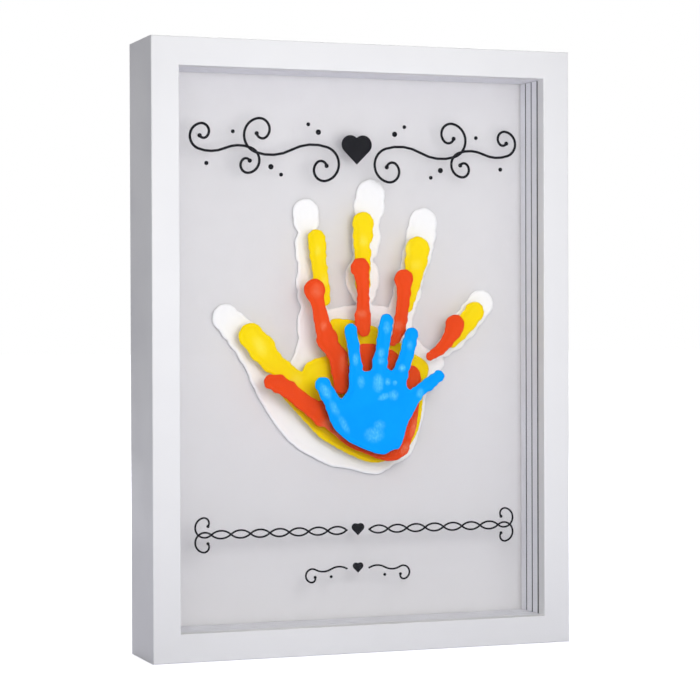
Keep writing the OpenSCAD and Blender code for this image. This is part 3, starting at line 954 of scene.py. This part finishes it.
@dataclass
class HandPrint:
    """One dried paint film: pillowed edges with a raised rim, and hollows where the skin pressed."""

    color: HandColor
    finish: FingerPaint
    spots: tuple[Spot, ...]
    voxel: float = 0.6 * MM
    stretch: float = 8.0
    rim_width: float = 1.5 * MM
    fall_width: float = 3.4 * MM
    edge_share: float = 0.2
    rim_share: float = 1.8
    inner_share: float = 0.8
    ripple_share: float = 0.12
    ripple_size: float = 3.2 * MM
    hollow_share: float = 0.25
    wobble: float = 0.45 * MM
    wobble_size: float = 2.6 * MM
    step: float = 0.3 * MM

    @property
    def node(self) -> str:
        """Name of the CAD film."""
        return f"print_{self.color.value}"

    def build(self) -> None:
        """Makes the film's relief and paints it."""
        low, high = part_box(self.node)
        source = merged_copy(self.node)
        outline = self.outline(source, low.y)
        data = self.remeshed(source, high.y)
        self.shape(data, outline, high.y, high.y - low.y)
        film = Piece(f"paint_{self.color.value}", f"{self.color.value}_paint", stands_for=(self.node,),
                     flat_faces=False)
        film.put_data(data, self.finish.build())

    def outline(self, mesh: EditMesh, front: float) -> KDTree:
        """Gathers points along the film's outline.

        Args:
            mesh: The CAD film.
            front: Depth of its front face.

        Returns:
            A search tree of the points, at depth zero.
        """
        in_front = at_depth(front, self.step)
        points: list[Vector] = []
        for edge in mesh.edges:
            if edge.calc_face_angle(0.0) < SHARP_ANGLE or not in_front(edge):
                continue
            a, b = (v.co for v in edge.verts)
            count = max(1, math.ceil((b - a).length / self.step))
            points += [a.lerp(b, i / count) for i in range(count)]
        tree = KDTree(len(points))
        for index, point in enumerate(points):
            tree.insert((point.x, 0.0, point.z), index)
        tree.balance()
        return tree

    def remeshed(self, mesh: EditMesh, back: float) -> bpy.types.Mesh:
        """Cuts the film into a fine even net. It is stretched in depth meanwhile, because it is thin.

        Args:
            mesh: The CAD film, which is freed.
            back: Depth of the film's back.

        Returns:
            The finely divided mesh, at its real depth.
        """
        about = Matrix.Translation((0.0, -back, 0.0))
        bmesh.ops.scale(mesh, vec=(1.0, self.stretch, 1.0), space=about, verts=mesh.verts)
        bmesh.ops.triangulate(mesh, faces=mesh.faces)
        rough = bpy.data.meshes.new(f"{self.node}_rough")
        mesh.to_mesh(rough)
        mesh.free()
        holder = bpy.data.objects.new(rough.name, rough)
        bpy.context.scene.collection.objects.link(holder)
        net = holder.modifiers.new("net", "REMESH")
        net.mode = "VOXEL"
        net.voxel_size = self.voxel
        fine = bpy.data.meshes.new_from_object(holder.evaluated_get(bpy.context.evaluated_depsgraph_get()))
        bpy.data.objects.remove(holder)
        bpy.data.meshes.remove(rough)
        fine.transform(about.inverted() @ Matrix.Diagonal((1.0, 1.0 / self.stretch, 1.0, 1.0)) @ about)
        return fine

    def shape(self, data: bpy.types.Mesh, outline: KDTree, back: float, thickness: float) -> None:
        """Moves the film's points to its relief, and marks the spots of hollows and painted highlights.

        Args:
            data: The finely divided film.
            outline: Points along its outline.
            back: Depth of its back.
            thickness: Its full thickness.
        """
        # The spots' mask: it hollows the relief here, and the paint's material lays painted highlights where
        # it is high.
        hollow_and_highlight = data.attributes.new(self.finish.mask_name, "FLOAT", "POINT")
        masks = [0.0] * len(data.vertices)
        for vertex in data.vertices:
            x, z = vertex.co.x, vertex.co.z
            mask = max((s.mask(x / MM, z / MM) for s in self.spots), default=0.0)
            level = min(1.0, max(0.0, (back - vertex.co.y) / thickness))
            inward = outline.find((x, 0.0, z))[2]
            vertex.co.y = back - level * thickness * self.height(x, z, inward, mask)
            drift = noise.noise_vector(Vector((x, 0.0, z)) / self.wobble_size)
            vertex.co.x += drift.x * self.wobble
            vertex.co.z += drift.z * self.wobble
            masks[vertex.index] = mask
        hollow_and_highlight.data.foreach_set("value", masks)

    def height(self, x: float, z: float, inward: float, mask: float) -> float:
        """Share of the full thickness at a point.

        Args:
            x: Place across.
            z: Height.
            inward: Distance to the outline.
            mask: How far the paint was pressed thin there.

        Returns:
            The share, from the thin edge over the raised rim to the inside.
        """
        rise = min(1.0, inward / self.rim_width)
        edge = self.edge_share + (self.rim_share - self.edge_share) * math.sqrt(1.0 - (1.0 - rise) ** 2)
        fall = smooth(min(1.0, max(0.0, inward - self.rim_width) / self.fall_width))
        ripple = noise.noise(Vector((x, 0.0, z)) / self.ripple_size) * self.ripple_share * fall
        inner = (self.rim_share - self.inner_share) * fall
        return max(self.edge_share, edge - inner + ripple - self.hollow_share * mask)


@dataclass
class HandPrints:
    """The four prints, from the front pane to the last. The largest has a wider net, to keep it light."""

    largest_voxel: float = 0.67 * MM
    seed: int = 7
    blue: FingerPaint = FingerPaint("blue_finger_paint", color=(0.0, 0.35, 0.97), deep=(0.0, 0.31, 0.90),
                                    highlight_color=(0.14, 0.66, 0.95))
    red: FingerPaint = FingerPaint("red_finger_paint", color=(0.83, 0.070, 0.010), deep=(0.75, 0.055, 0.008),
                                   highlight_color=(0.88, 0.23, 0.11))
    yellow: FingerPaint = FingerPaint("yellow_finger_paint", color=(0.96, 0.72, 0.0), deep=(0.92, 0.66, 0.0),
                                      highlight_color=(0.97, 0.86, 0.10))
    white: FingerPaint = FingerPaint("white_finger_paint", color=(0.96, 0.96, 0.963),
                                     deep=(0.94, 0.94, 0.945), highlight_color=(0.97, 0.97, 0.97))

    def prints(self) -> list[HandPrint]:
        """Lists the four prints with their paints and their spots of hollows and painted highlights.

        Returns:
            One entry for each print.
        """
        return [
            # Each spot hollows the relief and carries a painted highlight.
            HandPrint(HandColor.BLUE, self.blue, (
                Spot(-26, 172, 3.5, 7, 35), Spot(-20, 161, 3, 7, 30, 0.8), Spot(-13, 150, 3, 8, 30, 0.7),
                Spot(-5, 193, 2.5, 5), Spot(-1, 178, 3, 5, 0, 0.7), Spot(17, 214, 3, 5, 0, 0.8),
                Spot(13, 197, 3, 4), Spot(13, 192, 3, 3, 0, 0.8), Spot(11, 177, 4.5, 7, 0, 1.1),
                Spot(18, 178, 2.5, 3), Spot(23, 177, 2, 2), Spot(22, 169, 4, 4, 0, 0.9),
                Spot(15, 168, 5, 2.5, 20), Spot(28, 187, 3, 3, 0, 1.2), Spot(33.5, 202, 2.5, 4, 0, 0.6),
                Spot(41, 170, 3, 4, 0, 0.8), Spot(8, 143, 8, 6, 0, 0.9), Spot(12, 149, 5, 4, 0, 0.8))),
            HandPrint(HandColor.RED, self.red, (
                Spot(-29, 238, 5, 6, 0, 0.7), Spot(-24, 215, 3, 4, 0, 1.1), Spot(-11, 190, 3, 8, 0, 0.6),
                Spot(3, 223, 4.5, 3.5), Spot(29, 215, 4, 4, 0, 0.8), Spot(-22, 150, 6, 5, 0, 0.8),
                Spot(-15, 143, 7, 5, 40, 0.8), Spot(34, 133, 3, 6, -40, 1.2),
                Spot(40, 147, 2.5, 10, -15, 1.2))),
            HandPrint(HandColor.YELLOW, self.yellow, (
                Spot(-24.5, 265, 3, 4), Spot(-20, 245, 3, 6, 0, 0.8), Spot(8, 272, 4, 5, 0, 0.9),
                Spot(39, 268, 3, 8, 10), Spot(46, 256, 5, 4, 0, 0.8), Spot(-65, 202, 5, 9, 30),
                Spot(-40, 180, 5, 5, 0, 0.7))),
            HandPrint(HandColor.WHITE, self.white, (
                Spot(-30, 290, 6, 9, 0, 0.7), Spot(12, 305, 7, 8, 0, 0.7), Spot(50, 285, 7, 9, 0, 0.7)),
                voxel=self.largest_voxel),
        ]

    def build(self) -> None:
        """Makes all four prints. The seed makes their wavering edges the same in each run."""
        noise.seed_set(self.seed)
        for one in self.prints():
            one.build()


@dataclass
class Ornaments:
    """Raised vinyl ornaments above and below the hands, on the second pane."""

    names: tuple[str, ...] = ("title", "line", "foot")
    rounding: float = 0.14 * MM
    segments: int = 2

    def build(self) -> None:
        """Makes each ornament with rounded front edges."""
        vinyl = RaisedVinyl().build()
        for name in self.names:
            node = f"ornament_{name}"
            mesh = merged_copy(node)
            soften(mesh, self.rounding, self.segments, at_depth(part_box(node)[0].y, self.rounding))
            Piece(f"vinyl_{name}", "vinyl", stands_for=(node,)).put(mesh, vinyl)


@dataclass
class BackHardware:
    """Turn buttons, their screws, the hanger with its nails, and the wall bumpers."""

    joints: list[dict]
    zinc: ZincPlate = ZincPlate()
    bright: ZincPlate = ZincPlate(name="bright_screw_steel", color=(0.40, 0.40, 0.42),
                                  dull=(0.27, 0.27, 0.29), rough=(0.22, 0.36), patches=500.0,
                                  stretch=(1.0, 1.0, 1.0))
    button_edge: float = 0.25 * MM
    button_segments: int = 3
    head_edge: float = 0.7 * MM
    head_segments: int = 5
    recess_edge: float = 0.12 * MM
    recess_segments: int = 2
    screw_rim: float = 2.1 * MM
    plate_edge: float = 0.2 * MM
    plate_segments: int = 2
    nail_edge: float = 0.45 * MM
    nail_segments: int = 4
    flat_reach: float = 0.12 * MM
    bumper_steps: int = 48
    bumper_rings: int = 12
    bumper_edge: float = 0.5 * MM

    def build(self) -> None:
        """Makes all the hardware on the back."""
        zinc, bright = self.zinc.build(), self.bright.build()
        self.build_buttons(zinc)
        self.build_screws(bright)
        self.build_hanger(zinc, bright)
        self.build_bumpers(SoftBumper().build())

    def build_buttons(self, zinc: Material) -> None:
        """Makes the eight turn buttons, each on its own body.

        Args:
            zinc: Their material.
        """
        for joint in self.joints:
            body = joint["child"]
            name = body.removeprefix("button_")
            node = f"turn_button_{name}"
            mesh = merged_copy(node)
            soften(mesh, self.button_edge, self.button_segments)
            Piece(f"button_{name}", "zinc", body=body, stands_for=(node,)).put(mesh, zinc)

    def build_screws(self, steel: Material) -> None:
        """Makes the pan-head screws in one piece, with domed heads and eased recesses.

        Args:
            steel: Their material.
        """
        node = "turn_button_screws"
        centres = [Vector(joint["pos_m"]) for joint in self.joints]
        on_top = at_depth(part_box(node)[1].y, self.flat_reach)
        mesh = merged_copy(node)

        def on_rim(edge: bmesh.types.BMEdge) -> bool:
            """Tells if an edge is part of a head's round rim."""
            return on_top(edge) and all(min(distance_to_axis(v.co, c) for c in centres) > self.screw_rim
                                        for v in edge.verts)

        soften(mesh, self.head_edge, self.head_segments, on_rim)
        soften(mesh, self.recess_edge, self.recess_segments, lambda e: on_top(e) and not on_rim(e))
        Piece("button_screws", "screw", stands_for=(node,)).put(mesh, steel)

    def build_hanger(self, zinc: Material, steel: Material) -> None:
        """Makes the toothed hanger plate and its two nails.

        Args:
            zinc: The plate's material.
            steel: The nails' material.
        """
        plate = merged_copy("sawtooth_hanger")
        soften(plate, self.plate_edge, self.plate_segments)
        Piece("toothed_hanger", "zinc", stands_for=("sawtooth_hanger",)).put(plate, zinc)
        on_top = at_depth(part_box("hanger_nails")[1].y, self.flat_reach)
        nails = merged_copy("hanger_nails")
        soften(nails, self.nail_edge, self.nail_segments, on_top)
        Piece("hanger_pins", "screw", stands_for=("hanger_nails",)).put(nails, steel)

    def build_bumpers(self, soft: Material) -> None:
        """Spins the two soft domes on the lower back.

        Args:
            soft: Their material.
        """
        low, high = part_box("wall_bumpers")
        tall = high.y - low.y
        radius = (high.z - low.z) / 2
        mesh = bmesh.new()
        for side in (-1, 1):
            centre = Vector((side * (high.x - radius), low.y, (low.z + high.z) / 2))
            self.spin_dome(mesh, centre, radius, tall)
        bmesh.ops.remove_doubles(mesh, verts=mesh.verts, dist=MERGE_DISTANCE)
        bmesh.ops.recalc_face_normals(mesh, faces=mesh.faces)
        Piece("soft_bumpers", "bumper", stands_for=("wall_bumpers",)).put(mesh, soft)

    def spin_dome(self, mesh: EditMesh, centre: Vector, radius: float, tall: float) -> None:
        """Spins one dome's profile about its axis.

        Args:
            mesh: The mesh that the dome is added to.
            centre: Middle of its foot.
            radius: Radius of its foot.
            tall: Its height.
        """
        dome = (radius * radius + tall * tall) / (2 * tall)
        shoulder = self.bumper_edge / 2
        reach = math.asin(min(1.0, (radius - shoulder) / dome))
        angles = [reach * i / self.bumper_rings for i in range(self.bumper_rings + 1)]
        profile = [Vector((dome * math.sin(a), tall - dome + dome * math.cos(a), 0.0)) for a in angles]
        profile += [Vector((radius, shoulder, 0.0)), Vector((radius, 0.0, 0.0)), Vector((0.0, 0.0, 0.0))]
        points = [mesh.verts.new(centre + p) for p in profile]
        chain = [mesh.edges.new(pair) for pair in zip(points, points[1:])]
        bmesh.ops.spin(mesh, geom=points + chain, cent=centre, axis=(0.0, 1.0, 0.0), angle=math.tau,
                       steps=self.bumper_steps, use_merge=True)


# Studio


@dataclass(frozen=True)
class PhotoCamera:
    """The photograph's view: from the left, nearly level, with a long lens."""

    yaw: float = 20.18
    pitch: float = 0.62
    roll: float = -0.18
    offset: Triple = (0.01152, -0.0008, 1.48264)
    target: Triple = (0.0, -0.029, 0.2)
    focal_px: float = 2258.15
    image_px: float = 700.0
    sensor: float = 36.0
    clip: Span = (0.01, 50.0)

    def build(self) -> None:
        """Adds the camera and makes it the scene's."""
        upright = Matrix(((1, 0, 0), (0, 0, -1), (0, 1, 0)))
        rolled = Matrix.Rotation(math.radians(self.roll), 3, "Z")
        tipped = rolled @ Matrix.Rotation(math.radians(self.pitch), 3, "X")
        turned = tipped @ upright @ Matrix.Rotation(math.radians(self.yaw), 3, "Z")
        data = bpy.data.cameras.new("photo_camera")
        data.sensor_width = self.sensor
        data.lens = self.focal_px * self.sensor / self.image_px
        data.clip_start, data.clip_end = self.clip
        camera = bpy.data.objects.new("photo_camera", data)
        bpy.context.scene.collection.objects.link(camera)
        facing = Matrix((turned[0], -turned[1], -turned[2])).transposed()
        place = Vector(self.target) - turned.transposed() @ Vector(self.offset)
        camera.matrix_world = Matrix.Translation(place) @ facing.to_4x4()
        bpy.context.scene.camera = camera
        LOG.info("camera at %s", [round(c, 4) for c in place])


@dataclass(frozen=True)
class Lamp:
    """A square soft box. Its level is the share of white that it adds to a surface at its aim that faces it.

    A lamp of P watts, seen from far off, lights such a surface to P / (pi * distance) ** 2 of a plain white.
    """

    name: str
    azimuth: float
    elevation: float
    distance: float
    size: float
    level: float
    aim: float = 0.2
    mirrored: bool = False

    def build(self) -> None:
        """Adds the lamp, which looks at a point on the object's own axis."""
        a, e = math.radians(self.azimuth), math.radians(self.elevation)
        away = Vector((math.sin(a) * math.cos(e), -math.cos(a) * math.cos(e), math.sin(e)))
        data = bpy.data.lights.new(self.name, "AREA")
        data.shape = "SQUARE"
        data.size = self.size
        data.energy = self.level * (math.pi * self.distance) ** 2
        lamp = bpy.data.objects.new(self.name, data)
        lamp.location = Vector((0.0, 0.0, self.aim)) + away * self.distance
        lamp.rotation_mode = "QUATERNION"
        lamp.rotation_quaternion = (-away).to_track_quat("-Z", "Y")
        lamp.visible_camera = lamp.visible_transmission = False
        lamp.visible_glossy = self.mirrored
        bpy.context.scene.collection.objects.link(lamp)


@dataclass
class Studio:
    """Pale floor, white surround and soft lamps."""

    floor_size: float = 30.0
    floor_cells: int = 4
    floor_color: Color = (0.60, 0.60, 0.70)
    floor_rough: Span = (0.85, 0.95)
    floor_patches: float = 2.0
    floor_detail: float = 2.0
    floor_lift: Span = (0.80, 1.0)
    lift_reach: Span = (0.25, 0.9)
    ambient: Color = (0.21, 0.21, 0.21)
    first_bounce: ClassVar[float] = 0.5
    bounces: int = 28
    clear_bounces: int = 40
    lamps: tuple[Lamp, ...] = (
        Lamp("wide_box", azimuth=4.0, elevation=0.0, distance=0.5, size=0.8, level=0.53, aim=0.33),
        Lamp("near_box", azimuth=-5.0, elevation=2.0, distance=0.6, size=0.24, level=0.45, aim=0.27),
        Lamp("left_box", azimuth=-40.0, elevation=8.0, distance=1.2, size=1.2, level=0.15),
        Lamp("back_box", azimuth=165.0, elevation=40.0, distance=2.0, size=1.2, level=0.78, mirrored=True),
    )

    def build(self) -> None:
        """Sets the view, the world, the floor and the lamps."""
        scene = bpy.context.scene
        scene.view_settings.view_transform = "Standard"
        scene.cycles.max_bounces = self.bounces
        scene.cycles.transmission_bounces = self.bounces
        scene.cycles.transparent_max_bounces = self.clear_bounces
        self.build_world()
        self.build_floor()
        for lamp in self.lamps:
            lamp.build()

    @classmethod
    def seen(cls, wiring: Wiring) -> Socket:
        """Tells what the camera sees, directly or in metal and glass, from what only gives light.

        Args:
            wiring: The wiring of the material or world that asks.

        Returns:
            A value of 1 for what is seen, and 0 for the rest.
        """
        path = wiring.add("ShaderNodeLightPath")
        direct = wiring.calc("MAXIMUM", path.outputs["Is Camera Ray"], path.outputs["Is Glossy Ray"])
        either = wiring.calc("MAXIMUM", direct, path.outputs["Is Transmission Ray"])
        straight = wiring.calc("LESS_THAN", path.outputs["Diffuse Depth"], cls.first_bounce)
        return wiring.calc("MULTIPLY", either, straight)

    def build_world(self) -> None:
        """Makes the surround: white to look at, softer as a light."""
        world = bpy.data.worlds.new("studio_surround")
        world.use_nodes = True
        wiring = Wiring(world.node_tree)
        world.node_tree.nodes.clear()
        light = wiring.add("ShaderNodeBackground", {"Color": (*self.ambient, 1.0), "Strength": 1.0})
        white = wiring.add("ShaderNodeBackground", {"Color": (*WHITE, 1.0), "Strength": 1.0})
        shaders = {0: self.seen(wiring), 1: light.outputs[0], 2: white.outputs[0]}
        mixed = wiring.add("ShaderNodeMixShader", shaders)
        wiring.add("ShaderNodeOutputWorld", {"Surface": mixed.outputs[0]})
        bpy.context.scene.world = world

    def build_floor(self) -> None:
        """Makes the pale floor, which keeps the object's shadow and is white further out."""
        mesh = bmesh.new()
        bmesh.ops.create_grid(mesh, x_segments=self.floor_cells, y_segments=self.floor_cells,
                              size=self.floor_size / 2)
        data = bpy.data.meshes.new("studio_floor")
        mesh.to_mesh(data)
        mesh.free()
        data.materials.append(self.floor_finish())
        floor = bpy.data.objects.new("studio_floor", data)
        bpy.context.scene.collection.objects.link(floor)

    def floor_finish(self) -> Material:
        """Makes the floor's material, with a glow that only the camera sees.

        Returns:
            The new material.
        """
        recipe = Recipe("pale_studio_floor")
        recipe.set(Base_Color=self.floor_color, Specular_IOR_Level=0.0)
        mask = recipe.effect(Effects.mottle(), Scale=self.floor_patches, Detail=self.floor_detail)
        recipe.feed("Roughness", recipe.ramp(mask, 0.0, 1.0, *self.floor_rough))
        away = recipe.add("ShaderNodeVectorMath", {0: recipe.place}, operation="LENGTH").outputs["Value"]
        further = recipe.ramp(away, *self.lift_reach, *self.floor_lift)
        lift = recipe.calc("MULTIPLY", self.seen(recipe), further)
        glow = recipe.add("ShaderNodeEmission", {"Color": (*WHITE, 1.0), "Strength": lift})
        both = recipe.add("ShaderNodeAddShader", {0: recipe.shader.outputs[0], 1: glow.outputs[0]})
        recipe.join(both.outputs[0], recipe.output.inputs["Surface"])
        return recipe.material


def main() -> None:
    """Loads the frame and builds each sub-assembly in order."""
    logging.basicConfig(level=logging.INFO, format="%(name)s: %(message)s")
    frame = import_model()
    PhotoCamera().build()
    Studio().build()
    Rails().build()
    PaneStack().build()
    HandPrints().build()
    Ornaments().build()
    BackHardware(frame["joints"]).build()


if __name__ == "__main__":
    main()
